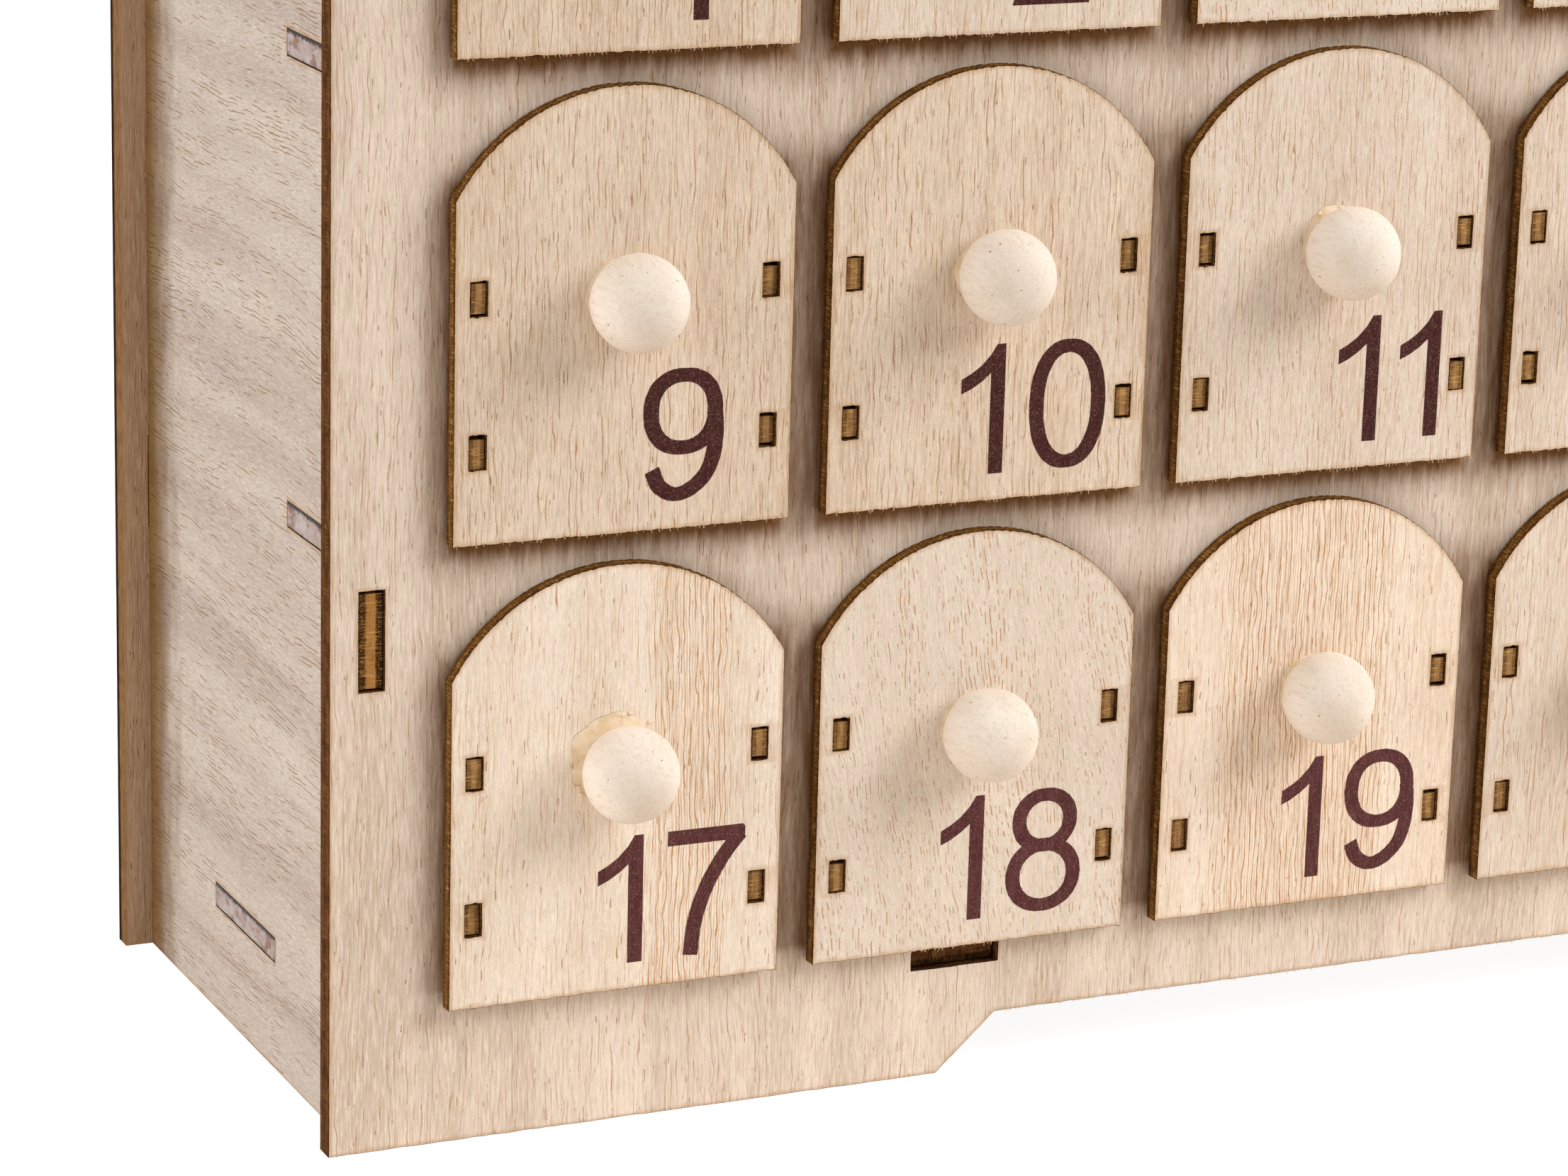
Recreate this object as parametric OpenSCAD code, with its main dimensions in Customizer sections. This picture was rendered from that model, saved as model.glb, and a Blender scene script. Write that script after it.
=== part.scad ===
// Advent calendar: a laser-cut plywood case with twenty-four pull-out drawers in three rows.
// The origin is on the ground at the middle of the whole footprint, from the knobs to the back panel.
// +X runs to the right and -Y is the front.

/* [Boards] */
// Thickness of the plywood of the case
case_board = 2.9; // [2.4:0.1:3.6]
// Thickness of the plywood of the drawers
drawer_board = 1.9; // [1.5:0.1:2.4]
// Gap on each side of a tab in its slot, left by the cutting beam
tab_gap = 0.05; // [0.02:0.01:0.15]
// Thickness of the glue between two pieces of a drawer
glue_gap = 0.05; // [0.02:0.01:0.15]

/* [Drawer plate] */
// Width of the plate that closes a drawer
plate_w = 40; // [34:0.5:48]
// Height of the straight sides of the plate
plate_side_h = 38.1; // [36:0.1:46]
// Height of the arch above the straight sides
plate_rise = 11.8; // [6:0.1:16]
// Space between the plate of a shut drawer and the front panel
plate_standoff = 0.2; // [0.1:0.05:0.6]

/* [Drawer box] */
// Gap between the box of a shut drawer and the back panel
box_end_gap = 5.7; // [3:0.1:25]
// Distance from the top of the plate's straight sides down to the top of the box's walls
wall_drop = 0.3; // [0:0.1:8]
// Distance from a side edge of the plate to the box's wall
wall_inset = 1.85; // [1.2:0.05:3]
// Height of the box's floor above the lower edge of its walls
floor_raise = 2; // [1:0.1:4]
// Distance from the rear end of the side walls to the back wall
back_inset = 2; // [1:0.1:5]
// Height of the small tabs at the ends of the walls
wall_tab_h = 3.7; // [2.5:0.1:5]
// Distance between the middles of the two tabs of one wall
wall_tab_spacing = 17; // [12:0.1:20]
// Width of the tab on each side of the box's floor
floor_tab_w = 14; // [8:0.5:24]
// Space under the walls of a shut drawer
drawer_lift = 0.2; // [0.1:0.05:0.5]

/* [Knob] */
// Diameter of the ball knob
knob_d = 11; // [9:0.1:13]
// Distance from the plate's face to the middle of the ball
knob_stand = 3.65; // [2.5:0.05:4.2]
// Height of the knob's middle above the lower edge of the plate
knob_height = 26.6; // [20:0.1:32]

/* [Grid] */
// Space between two plates side by side
column_gap = 4.55; // [4:0.05:7]
// Space between the top of one plate and the plate above it
row_gap = 3.5; // [3.2:0.1:6]
// Distance from a side edge of the front panel to the nearest plate
side_margin = 13.35; // [10:0.05:20]
// Gap between a window's side and the box that slides through it
window_side_gap = 0.45; // [0.3:0.05:0.8]
// Gap between a window's top and the box that slides through it
window_top_gap = 0.5; // [0.3:0.05:0.8]

/* [Case] */
// Depth of the space between the front and back panels
case_depth = 72.6; // [71:0.1:90]
// Distance from a side edge of the front panel to the side panel
side_inset = 3.4; // [2.5:0.1:5]
// Height of the bottom panel's underside above the ground
ground_gap = 13.2; // [10:0.1:20]
// Height of the front panel above the top panel
top_margin = 10; // [1.5:0.1:20]
// Width of each foot of the front and back panels
foot_w = 75.2; // [60:0.1:90]
// Width of the slope beside each foot
foot_slope = 7.5; // [4:0.1:10]
// Height of the raised edge between the feet
foot_rise = 6.8; // [4:0.1:8.5]

/* [Case tabs] */
// Height of the tabs that hold the sides in the front and back panels
side_tab_h = 11.3; // [8:0.1:16]
// Height of the middle of such a tab above the drawers' floor in its row
side_tab_rise = 43.3; // [20:0.1:44]
// Width of the tabs that hold the top and bottom in the front and back panels
cross_tab_w = 11.2; // [8:0.1:16]
// Distance from a side edge of the front panel to the middle of the nearest of these tabs
cross_tab_at = 77.2; // [70:0.1:85]
// Width of the tabs that hold the top and bottom in the sides
end_tab_w = 21.6; // [12:0.1:30]
// Width of the tab that holds a shelf in a side
shelf_tab_w = 17.8; // [10:0.1:22]
// Distance from the front panel to a shelf's tab
shelf_tab_setback = 3.1; // [2:0.1:8]
// Width of the tabs that hold the dividers in the top and bottom
divider_tab_w = 12; // [8:0.5:20]

/* [Hidden] */
columns = 8;
rows = 3;
drawer_count = columns * rows;
// Rows whose height holds a tab of the sides, counted from the lowest
side_tab_rows = [0, rows - 1];

// Roundness of the arches and the knobs
round_fn = 96;
// How far a cut runs past an edge
overrun = 1;

arch_top = plate_side_h + plate_rise;
arch_r = (plate_w * plate_w / 4 + plate_rise * plate_rise) / (2 * plate_rise);
box_w = plate_w - 2 * wall_inset;
box_depth = plate_standoff + case_board + case_depth - box_end_gap;
wall_h = plate_side_h - wall_drop;
box_inner_w = box_w - 2 * (drawer_board + glue_gap);
box_tab_x = (box_w - drawer_board) / 2;
back_wall_y = box_depth - back_inset - drawer_board;
floor_depth = back_wall_y - glue_gap;
wall_tab_heights = [for (side = [-1, 1]) (wall_h + side * wall_tab_spacing) / 2];

pitch_x = plate_w + column_gap;
pitch_z = arch_top + row_gap;
window_w = box_w + 2 * window_side_gap;
window_h = drawer_lift + wall_h + window_top_gap;

case_w = 2 * side_margin + columns * plate_w + (columns - 1) * column_gap;
inner_w = case_w - 2 * (side_inset + case_board);
// The knobs reach this far in front of the case, so the case's middle lies half of it behind the origin
knob_reach = plate_standoff + drawer_board + knob_stand + knob_d / 2;
case_mid_y = knob_reach / 2;
front_y = case_mid_y - case_depth / 2;
back_y = case_mid_y + case_depth / 2;
top_underside = ground_gap + rows * pitch_z;
panel_h = top_underside + case_board + top_margin;

side_mid_x = (inner_w + case_board) / 2;
side_tab_heights = [for (row = side_tab_rows) shelf_top(row) + side_tab_rise];
cross_tab_x = case_w / 2 - cross_tab_at;
end_tab_mid = (case_depth + case_board) / 2;
shelf_tab_y = front_y + shelf_tab_setback + shelf_tab_w / 2;
cross_mids = [ground_gap + case_board / 2, top_underside + case_board / 2];

function drawer_column(n) = (n - 1) % columns;
function drawer_row(n) = rows - 1 - floor((n - 1) / columns);
function shelf_top(row) = ground_gap + case_board + row * pitch_z;
function drawer_x(n) = (drawer_column(n) - (columns - 1) / 2) * pitch_x;
function divider_x(i) = (i - columns / 2) * pitch_x;

function two_digits(n) = str(n < 10 ? "0" : "", n);
function front_name(n) = str("drawer_", two_digits(n), "_front");
function box_name(n) = str("drawer_", two_digits(n), "_box");

// Boards are drawn as flat outlines and given their thickness by one of these three
module board_facing_x(x, thickness) {
    translate([x, 0, 0]) rotate([90, 0, 90]) linear_extrude(thickness) children();
}

module board_facing_y(y, thickness) {
    translate([0, y + thickness, 0]) rotate([90, 0, 0]) linear_extrude(thickness) children();
}

module board_facing_z(z, thickness) {
    translate([0, 0, z]) linear_extrude(thickness) children();
}

// A tab about its middle, or the slot for it when a gap is given
module tab(middle, size, gap = 0) {
    translate(middle - size / 2 - [gap, gap]) square(size + 2 * [gap, gap]);
}

// Case panels
module panel_outline() {
    foot_x = case_w / 2 - foot_w;
    polygon([
        [-case_w / 2, 0],
        [-foot_x, 0],
        [-foot_x + foot_slope, foot_rise],
        [foot_x - foot_slope, foot_rise],
        [foot_x, 0],
        [case_w / 2, 0],
        [case_w / 2, panel_h],
        [-case_w / 2, panel_h]
    ]);
}

module panel_slots() {
    for (side = [-1, 1]) {
        for (z = side_tab_heights)
            tab([side * side_mid_x, z], [case_board, side_tab_h], tab_gap);
        for (z = cross_mids)
            tab([side * cross_tab_x, z], [cross_tab_w, case_board], tab_gap);
    }
}

module windows() {
    for (n = [1 : drawer_count])
        translate([drawer_x(n) - window_w / 2, shelf_top(drawer_row(n))])
            square([window_w, window_h]);
}

module front_panel() {
    color("burlywood") board_facing_y(front_y - case_board, case_board) difference() {
        panel_outline();
        panel_slots();
        windows();
    }
}

module back_panel() {
    color("tan") board_facing_y(back_y, case_board) difference() {
        panel_outline();
        panel_slots();
    }
}

module side_outline() {
    difference() {
        union() {
            translate([front_y, 0]) square([case_depth, panel_h]);
            for (end = [-1, 1], z = side_tab_heights)
                tab([case_mid_y + end * end_tab_mid, z], [case_board, side_tab_h]);
        }
        for (z = cross_mids)
            tab([case_mid_y, z], [end_tab_w, case_board], tab_gap);
        for (row = [1 : rows - 1])
            tab([shelf_tab_y, shelf_top(row) - case_board / 2], [shelf_tab_w, case_board], tab_gap);
    }
}

module left_side() {
    color("wheat") board_facing_x(-inner_w / 2 - case_board, case_board) side_outline();
}

module right_side() {
    color("wheat") board_facing_x(inner_w / 2, case_board) side_outline();
}

module cross_panel_outline() {
    difference() {
        union() {
            translate([-inner_w / 2, front_y]) square([inner_w, case_depth]);
            for (side = [-1, 1]) {
                tab([side * side_mid_x, case_mid_y], [case_board, end_tab_w]);
                for (y = [case_mid_y - end_tab_mid, case_mid_y + end_tab_mid])
                    tab([side * cross_tab_x, y], [cross_tab_w, case_board]);
            }
        }
        for (i = [1 : columns - 1])
            tab([divider_x(i), case_mid_y], [case_board, divider_tab_w], tab_gap);
    }
}

module bottom_panel() {
    color("wheat") board_facing_z(ground_gap, case_board) cross_panel_outline();
}

module top_panel() {
    color("wheat") board_facing_z(top_underside, case_board) cross_panel_outline();
}

// A shelf crosses the dividers, and each is slotted halfway through
module shelf(row) {
    board_facing_z(shelf_top(row) - case_board, case_board) difference() {
        union() {
            translate([-inner_w / 2, front_y]) square([inner_w, case_depth]);
            for (side = [-1, 1])
                tab([side * side_mid_x, shelf_tab_y], [case_board, shelf_tab_w]);
        }
        for (i = [1 : columns - 1])
            translate([divider_x(i) - case_board / 2 - tab_gap, case_mid_y - tab_gap])
                square([case_board + 2 * tab_gap, case_depth / 2 + tab_gap + overrun]);
    }
}

module lower_shelf() {
    color("wheat") shelf(1);
}

module upper_shelf() {
    color("wheat") shelf(2);
}

module divider_outline() {
    difference() {
        union() {
            translate([front_y, shelf_top(0)]) square([case_depth, top_underside - shelf_top(0)]);
            for (z = cross_mids)
                tab([case_mid_y, z], [divider_tab_w, case_board]);
        }
        for (row = [1 : rows - 1])
            translate([front_y - overrun, shelf_top(row) - case_board - tab_gap])
                square([overrun + case_depth / 2 + tab_gap, case_board + 2 * tab_gap]);
    }
}

module column_dividers() {
    color("wheat") for (i = [1 : columns - 1])
        board_facing_x(divider_x(i) - case_board / 2, case_board) divider_outline();
}

// Drawers stand at the middle of their box's lower front edge, with the plate towards -Y
module at_drawer(n) {
    plate_back_y = front_y - case_board - plate_standoff;
    translate([drawer_x(n), plate_back_y, shelf_top(drawer_row(n)) + drawer_lift]) children();
}

module plate_outline() {
    translate([-plate_w / 2, 0]) square([plate_w, plate_side_h]);
    intersection() {
        translate([-plate_w / 2, 0]) square([plate_w, arch_top]);
        translate([0, arch_top - arch_r]) circle(arch_r, $fn = round_fn);
    }
}

module plate() {
    board_facing_y(-drawer_board, drawer_board) difference() {
        plate_outline();
        for (side = [-1, 1], z = wall_tab_heights)
            tab([side * box_tab_x, z], [drawer_board, wall_tab_h], tab_gap);
    }
}

// The ball is cut flat where it is glued to the plate
module knob() {
    translate([0, -drawer_board, knob_height]) rotate([90, 0, 0]) intersection() {
        translate([0, 0, knob_stand]) sphere(d = knob_d, $fn = round_fn);
        translate([0, 0, glue_gap])
            cylinder(h = knob_stand + knob_d, d = knob_d + overrun, $fn = round_fn);
    }
}

module drawer_front(n) {
    at_drawer(n) {
        color("moccasin") plate();
        color("ivory") knob();
    }
}

module wall_outline() {
    difference() {
        union() {
            square([box_depth, wall_h]);
            for (z = wall_tab_heights)
                tab([-drawer_board / 2, z], [drawer_board, wall_tab_h]);
        }
        for (z = wall_tab_heights)
            tab([back_wall_y + drawer_board / 2, z], [drawer_board, wall_tab_h], tab_gap);
        tab([floor_depth / 2, floor_raise + drawer_board / 2], [floor_tab_w, drawer_board], tab_gap);
    }
}

// The tabs of the back wall and the floor reach the outer faces of the side walls
module back_wall_outline() {
    translate([-box_inner_w / 2, 0]) square([box_inner_w, wall_h]);
    for (side = [-1, 1], z = wall_tab_heights)
        tab([side * (box_tab_x - glue_gap / 2), z], [drawer_board + glue_gap, wall_tab_h]);
}

module floor_outline() {
    translate([-box_inner_w / 2, 0]) square([box_inner_w, floor_depth]);
    for (side = [-1, 1])
        tab(
            [side * (box_tab_x - glue_gap / 2), floor_depth / 2],
            [drawer_board + glue_gap, floor_tab_w]
        );
}

module drawer_box(n) {
    at_drawer(n) color("wheat") {
        board_facing_x(-box_w / 2, drawer_board) wall_outline();
        board_facing_x(box_w / 2 - drawer_board, drawer_board) wall_outline();
        board_facing_y(back_wall_y, drawer_board) back_wall_outline();
        board_facing_z(floor_raise, drawer_board) floor_outline();
    }
}

front_panel();
back_panel();
left_side();
right_side();
bottom_panel();
top_panel();
lower_shelf();
upper_shelf();
column_dividers();
for (n = [1 : drawer_count]) {
    drawer_front(n);
    drawer_box(n);
}
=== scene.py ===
import math
import random
from collections import namedtuple

import bmesh
import bpy
from mathutils import Matrix, Vector, kdtree, noise
from mathutils.geometry import delaunay_2d_cdt


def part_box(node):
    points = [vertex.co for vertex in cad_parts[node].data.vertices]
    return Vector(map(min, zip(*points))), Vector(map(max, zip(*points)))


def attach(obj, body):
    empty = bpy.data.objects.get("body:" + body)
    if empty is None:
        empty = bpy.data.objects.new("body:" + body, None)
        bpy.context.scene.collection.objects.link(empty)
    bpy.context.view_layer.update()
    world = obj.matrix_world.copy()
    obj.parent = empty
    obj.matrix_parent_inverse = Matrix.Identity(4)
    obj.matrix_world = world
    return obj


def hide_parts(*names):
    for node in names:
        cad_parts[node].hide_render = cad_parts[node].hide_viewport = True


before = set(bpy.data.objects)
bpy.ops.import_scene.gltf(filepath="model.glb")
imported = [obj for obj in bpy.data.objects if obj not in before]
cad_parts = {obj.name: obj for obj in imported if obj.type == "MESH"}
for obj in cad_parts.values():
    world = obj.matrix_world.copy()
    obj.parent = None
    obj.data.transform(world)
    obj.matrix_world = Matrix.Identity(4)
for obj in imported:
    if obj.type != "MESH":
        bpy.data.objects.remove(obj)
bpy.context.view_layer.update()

# An advent calendar of laser-cut plywood. Shapes are worked out in millimetres and stored in metres.
MM = 0.001
WELD = 1e-6
# Places closer than this are the same place
NEAR = 0.01

# The beam rounds every edge a little and leaves its trace beside the cut
CUT_BEVEL = 0.045
CUT_RINGS = (0.14, 0.45, 1.1)


# Boards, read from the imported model

ACROSS_OF = {0: (1, 2), 1: (2, 0), 2: (0, 1)}
FACES_OUT = 0.99


def read_solids(node):
    """The separate solids of a node: thin axis, corners of the box and, for a board, its outlines."""
    shape = bmesh.new()
    shape.from_mesh(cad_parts[node].data)
    bmesh.ops.remove_doubles(shape, verts=shape.verts, dist=WELD)
    shape.faces.ensure_lookup_table()
    left = set(shape.faces)
    solids = []
    while left:
        seed = min(left, key=lambda face: face.index)
        left.remove(seed)
        heap, faces = [seed], [seed]
        while heap:
            for near in [face for edge in heap.pop().edges for face in edge.link_faces]:
                if near in left:
                    left.remove(near)
                    heap.append(near)
                    faces.append(near)
        solids.append(read_solid(faces))
    shape.free()
    return solids


def read_solid(faces):
    corners = [corner.co for face in faces for corner in face.verts]
    low, high = (Vector([pick(axis) for axis in zip(*corners)]) / MM for pick in (min, max))
    thin = min(range(3), key=lambda i: high[i] - low[i])
    return {"thin": thin, "low": low, "high": high, "outlines": read_outlines(faces, thin, high)}


def read_outlines(faces, thin, high):
    """The closed outlines of a board's far face, with the wood always on their left."""
    u, v = ACROSS_OF[thin]
    following = {}
    for face in faces:
        behind = abs(face.calc_center_median()[thin] / MM - high[thin])
        if face.normal[thin] > FACES_OUT and behind < NEAR:
            for corner, after in zip(face.verts, list(face.verts[1:]) + [face.verts[0]]):
                following[(corner.index, after.index)] = (corner.co[u] / MM, corner.co[v] / MM)
    steps = {
        start: (end, place) for (start, end), place in following.items()
        if (end, start) not in following}
    outlines = []
    while steps:
        start = min(steps)
        outline = []
        while start in steps:
            start, place = steps.pop(start)
            outline.append(Vector(place))
        outlines.append(outline)
    return outlines


def area_of(outline):
    return sum(a.x * b.y - b.x * a.y for a, b in zip(outline, outline[1:] + outline[:1])) / 2


# Boards, cut again with a finer edge

# The least that a corner's lean is divided by, so that a sharp corner stays near its place
CORNER_LIMIT = 0.35
# What the beam tears along the grain, as a share of what it tears across it
TORN_ALONG = 0.25
# A ring's point is dropped where another cut is nearer than this share of the ring's distance
RING_SHARE = 0.8
# A cut counts as running across the grain from here
CROSSWISE = 0.8
# Which of a board's materials a face has
FACE, CUT, SANDED = range(3)
# Where the saw line runs, where the torn edge lies, the way into the wood, how far round the outline
# that is, and how squarely the cut runs across the grain there
CutPoint = namedtuple("CutPoint", "line edge lean run across")


class Stock:
    """Boards that make one piece, in millimetres, with the notes that their finish reads."""

    def __init__(self):
        self.corners, self.faces, self.finish, self.ends = [], [], [], []
        self.notes = {"sheet": [], "trace": [], "cut": [], "smoke": []}

    def add_corner(self, place, **notes):
        self.corners.append(place)
        for label, value in notes.items():
            self.notes[label].append(value)
        return len(self.corners) - 1

    def add_face(self, ring, finish):
        self.faces.append(ring)
        self.finish.append(finish)


def inward(start, end):
    run = (end - start).normalized()
    return Vector((-run.y, run.x))


def walk_outline(outline, step, torn, grain, rng):
    """The points of a cut, no more than a step apart."""
    points = []
    run = 0.0
    for i, start in enumerate(outline):
        end = outline[(i + 1) % len(outline)]
        way_in = inward(start, end)
        corner = way_in + inward(outline[i - 1], start)
        corner = corner / max(corner.length_squared / 2, CORNER_LIMIT)
        pieces = max(1, math.ceil((end - start).length / step))
        across = abs(way_in.dot(grain))
        for k in range(pieces):
            line = start.lerp(end, k / pieces)
            lean = way_in if k else corner
            depth = rng.random() ** 2 * torn * (TORN_ALONG + across) if k else 0.0
            points.append(CutPoint(line, line + lean * depth, lean, run, across))
            run += (end - start).length / pieces
    return points


def add_board(stock, solid, grain, rng, step=0.7, torn=0.05, rings=CUT_RINGS, sanded=None):
    """One board: two faces, a rounded corner on each side of the cut, and the cut itself."""
    thin = solid["thin"]
    u, v = ACROSS_OF[thin]
    low, high = solid["low"][thin], solid["high"][thin]
    thickness = high - low
    crosswise = ({0, 1, 2} - {thin, grain}).pop()
    shift = Vector((rng.uniform(0, 900), -solid["low"][crosswise], rng.uniform(0, 90)))
    grain_flat = Vector((1.0 if u == grain else 0.0, 1.0 if v == grain else 0.0))

    def place(flat, height):
        corner = Vector((0.0, 0.0, 0.0))
        corner[u], corner[v], corner[thin] = flat.x, flat.y, height
        return corner

    def add_corner(flat, height, run, across, cut):
        spot = place(flat, low + height)
        sheet = Vector((spot[grain], spot[crosswise], spot[thin])) + shift
        trace = Vector((run, height / thickness, across))
        return stock.add_corner(spot, sheet=sheet, trace=trace, cut=cut)

    cuts = [walk_outline(outline, step, torn, grain_flat, rng) for outline in solid["outlines"]]
    outer = max(range(len(cuts)), key=lambda i: area_of(solid["outlines"][i]))

    points = [point for cut in cuts for point in cut]
    beside = kdtree.KDTree(len(points))
    for i, point in enumerate(points):
        beside.insert(point.edge.to_3d(), i)
    beside.balance()

    # The flat faces: the edge of the bevel, and rings beside each cut that carry the distance to it
    flat = [point.edge + point.lean * CUT_BEVEL for point in points]
    cut_distance = [CUT_BEVEL] * len(flat)
    for distance in rings:
        for point in points:
            spot = point.line + point.lean * distance
            if beside.find(spot.to_3d())[2] > distance * RING_SHARE:
                flat.append(spot)
                cut_distance.append(distance)
    places = iter(range(len(points)))
    loops = [[next(places) for _ in cut] for cut in cuts]
    sides = [(loop[i - 1], loop[i]) for loop in loops for i in range(len(loop))]
    fields = [loop if i == outer else loop[::-1] for i, loop in enumerate(loops)]
    spots, _, triangles, origin, _, held_by = delaunay_2d_cdt(flat, sides, fields, 0, WELD, True)
    source = [ids[0] if ids else -1 for ids in origin]
    kept = [tri for tri, held in zip(triangles, held_by) if set(held) == {outer}]

    # The cut, as rows of corners from one face to the other
    rows = [(0.0, CUT_BEVEL), (CUT_BEVEL, 0.0), (thickness - CUT_BEVEL, 0.0), (thickness, CUT_BEVEL)]
    edge_corner = {}
    for loop, cut in zip(loops, cuts):
        start_run = rng.uniform(0, 500)
        for row, (height, inset) in enumerate(rows):
            for index, point in zip(loop, cut):
                spot = point.edge + point.lean * inset
                run = start_run + point.run
                edge_corner[row, index] = add_corner(spot, height, run, point.across, inset)
        for row in range(len(rows) - 1):
            for a, b in zip(loop, loop[1:] + loop[:1]):
                ring = [(row, a), (row, b), (row + 1, b), (row + 1, a)]
                ring = [edge_corner[key] for key in ring]
                middle = sum((stock.corners[k] for k in ring), Vector()) / 4
                stock.add_face(ring, SANDED if sanded and sanded(middle) else CUT)

    for row, height in ((0, 0.0), (len(rows) - 1, thickness)):
        corner_of = {}
        for index in dict.fromkeys(index for tri in kept for index in tri):
            known = source[index]
            if (row, known) in edge_corner:
                corner_of[index] = edge_corner[row, known]
            else:
                distance = cut_distance[known] if known >= 0 else rings[-1]
                corner_of[index] = add_corner(spots[index], height, 0.0, 0.0, distance)
        for tri in kept:
            ring = [corner_of[index] for index in tri]
            stock.add_face(ring if row else ring[::-1], FACE)

    # Cuts across the grain of the board's low face, where fibres stand out
    for cut in cuts:
        for here, after in zip(cut, cut[1:] + cut[:1]):
            crossing = min(here.across, after.across) > CROSSWISE
            if crossing and (after.edge - here.edge).length < 2 * step:
                stock.ends.append(
                    (place(here.edge, low), place(after.edge, low), place(-here.lean, 0.0)))


def store(mesh, name, values):
    """Keeps a number or a vector at each corner for the finish to read."""
    if isinstance(values[0], float):
        kept = mesh.attributes.new(name, "FLOAT", "POINT")
        kept.data.foreach_set("value", values)
    else:
        kept = mesh.attributes.new(name, "FLOAT_VECTOR", "POINT")
        kept.data.foreach_set("vector", [number for value in values for number in value])


def show(thing, name):
    """Puts a mesh, a light or a camera into the scene."""
    shown = bpy.data.objects.new(name, thing)
    bpy.context.scene.collection.objects.link(shown)
    return shown


def make_piece(name, corners, faces, materials=(), crease=0.0, edges=(), **notes):
    """A mesh in the scene. Its faces join smoothly up to an angle of crease, in degrees."""
    mesh = bpy.data.meshes.new(name)
    mesh.from_pydata([tuple(corner * MM) for corner in corners], edges, faces)
    for label, values in notes.items():
        if values:
            store(mesh, label, values)
    for material in materials:
        mesh.materials.append(material)
    if crease:
        mesh.polygons.foreach_set("use_smooth", [True] * len(faces))
        mesh.set_sharp_from_angle(angle=math.radians(crease))
    return show(mesh, name)


def finish_boards(name, stock, materials, body, *nodes):
    piece = make_piece(name, stock.corners, stock.faces, materials, crease=28.0, **stock.notes)
    piece.data.polygons.foreach_set("material_index", stock.finish)
    piece.data.update()
    settle(piece, body, *nodes)


def settle(piece, body, *nodes):
    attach(piece, body)
    "case_plywood" if body == "case" else "drawer_plywood"
    if nodes:
        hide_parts(*nodes)


# Finishes

def paint(code):
    """A colour written as on a paint card, in the linear values that a shader takes."""
    shares = [int(code[i:i + 2], 16) / 255 for i in (1, 3, 5)]
    linear = [s / 12.92 if s <= 0.04045 else ((s + 0.055) / 1.055) ** 2.4 for s in shares]
    return (*linear, 1.0)


class Amount:
    """A number, a place or a colour that changes over a surface, to be written in sums."""

    def __init__(self, recipe, socket):
        self.recipe = recipe
        self.socket = socket

    def sum(self, operation, other=0.0):
        return self.recipe.get("ShaderNodeMath", {0: self, 1: other}, operation=operation)

    def __add__(self, other):
        return self.sum("ADD", other)

    def __sub__(self, other):
        return self.sum("SUBTRACT", other)

    def __rsub__(self, other):
        return self.recipe.get("ShaderNodeMath", {0: other, 1: self}, operation="SUBTRACT")

    def __mul__(self, other):
        return self.sum("MULTIPLY", other)

    def __truediv__(self, other):
        return self.sum("DIVIDE", other)

    def __abs__(self):
        return self.sum("ABSOLUTE")

    def step(self, low, high):
        """0 below low, 1 above high, and smooth between them."""
        inputs = {"Value": self, "From Min": low, "From Max": high}
        return self.recipe.get(
            "ShaderNodeMapRange", inputs, "Result", interpolation_type="SMOOTHSTEP")

    def split(self):
        return list(self.recipe.named("ShaderNodeSeparateXYZ", {0: self}).values())

    def mottle(self, along, across, through, detail=1.0, roughness=0.5):
        """Noise at this place: so many lumps to a unit along, across and through a board."""
        place = self.recipe.get(
            "ShaderNodeVectorMath", {0: self, 1: (along, across, through)}, operation="MULTIPLY")
        inputs = {"Vector": place, "Scale": 1.0, "Detail": detail, "Roughness": roughness}
        return self.recipe.get("ShaderNodeTexNoise", inputs, "Fac")


class Recipe:
    """A node tree that is written from top to bottom. Colours may be given as on a paint card."""

    def __init__(self, tree, material=None):
        self.tree = tree
        self.material = material

    def add(self, kind, inputs=None, **settings):
        made = self.tree.nodes.new(kind)
        for key, value in settings.items():
            setattr(made, key, value)
        for socket, value in (inputs or {}).items():
            self.feed(made.inputs[socket], value)
        return made

    def feed(self, socket, value):
        if isinstance(value, Amount):
            self.tree.links.new(value.socket, socket)
        elif isinstance(value, str) and value.startswith("#"):
            socket.default_value = paint(value)
        else:
            socket.default_value = value

    def get(self, kind, inputs=None, output=0, **settings):
        """Adds a node and gives what it puts out."""
        return Amount(self, self.add(kind, inputs, **settings).outputs[output])

    def named(self, kind, inputs=None, **settings):
        """Adds a node and gives all that it puts out, by name."""
        outputs = self.add(kind, inputs, **settings).outputs
        return {socket.name: Amount(self, socket) for socket in outputs}

    def random(self, kind, seed, **limits):
        """A random value in a Geometry Nodes tree; limits are Min and Max, or Probability."""
        node = self.add("FunctionNodeRandomValue", data_type=kind)
        for label, value in dict(limits, Seed=seed).items():
            self.feed(next(s for s in node.inputs if s.name == label and s.enabled), value)
        return Amount(self, next(s for s in node.outputs if s.enabled))

    def join(self, x, y, z):
        return self.get("ShaderNodeCombineXYZ", {0: x, 1: y, 2: z})

    def mix(self, share, a, b, blend="MIX"):
        node = self.add("ShaderNodeMix", data_type="RGBA", blend_type=blend, clamp_factor=True)
        for label, value in (("Factor_Float", share), ("A_Color", a), ("B_Color", b)):
            self.feed(next(s for s in node.inputs if s.identifier == label), value)
        return Amount(self, next(s for s in node.outputs if s.identifier == "Result_Color"))

    def note(self, name, output="Vector"):
        return self.get("ShaderNodeAttribute", None, output, attribute_name=name)

    def object_place(self):
        return self.get("ShaderNodeTexCoord", None, "Object")


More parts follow.
